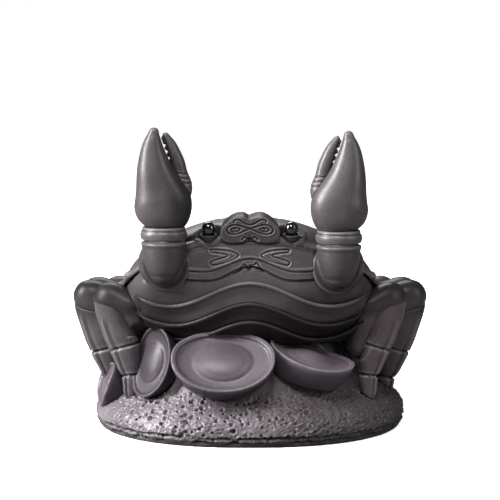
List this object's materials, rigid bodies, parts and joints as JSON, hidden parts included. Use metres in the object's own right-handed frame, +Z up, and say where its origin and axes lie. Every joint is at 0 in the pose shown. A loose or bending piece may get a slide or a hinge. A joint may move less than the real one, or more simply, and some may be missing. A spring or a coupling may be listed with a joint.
{
  "type": "crab figurine",
  "caption": "Unglazed clay crab figurine with raised claws and black bead eyes, sitting on a rock-textured foot set with boat-shaped ingots.",
  "frame": {"origin": "in the plane that the foot stands on, below the middle of the foot", "axes": "+Z up, +X to the right as seen from the front, -Y towards the crab's face"},
  "size_m": [0.118, 0.0884, 0.1009],
  "materials": {
    "body_clay": "satin unglazed clay, rubbed smooth",
    "rock_clay": "unglazed clay, stippled rough",
    "ingot_clay": "satin unglazed clay, rubbed smooth",
    "bead": "glossy black bead"
  },
  "bodies": {
    "root": {"foot": "rock_clay", "floor": "rock_clay", "bowl": "body_clay", "carapace": "body_clay", "face_plate": "body_clay", "lip_plate": "body_clay", "belly_plate_upper": "body_clay", "belly_plate_middle": "body_clay", "belly_plate_lower": "body_clay", "brow_plate": "body_clay", "eye_stalk_left": "body_clay", "eye_stalk_right": "body_clay", "eye_bead_left": "bead", "eye_bead_right": "bead", "shoulder_left": "body_clay", "forearm_left": "body_clay", "collar_left": "body_clay", "palm_left": "body_clay", "finger_left": "body_clay", "shoulder_right": "body_clay", "forearm_right": "body_clay", "collar_right": "body_clay", "palm_right": "body_clay", "finger_right": "body_clay", "thigh_1_left": "body_clay", "shin_1_left": "body_clay", "thigh_2_left": "body_clay", "shin_2_left": "body_clay", "thigh_3_left": "body_clay", "shin_3_left": "body_clay", "thigh_4_left": "body_clay", "shin_4_left": "body_clay", "thigh_1_right": "body_clay", "shin_1_right": "body_clay", "thigh_2_right": "body_clay", "shin_2_right": "body_clay", "thigh_3_right": "body_clay", "shin_3_right": "body_clay", "thigh_4_right": "body_clay", "shin_4_right": "body_clay", "ingot_front": "ingot_clay", "ingot_front_right": "ingot_clay", "ingot_front_left": "ingot_clay", "ingot_left": "ingot_clay", "ingot_back_left": "ingot_clay", "ingot_back_right": "ingot_clay"}
  },
  "joints": []
}
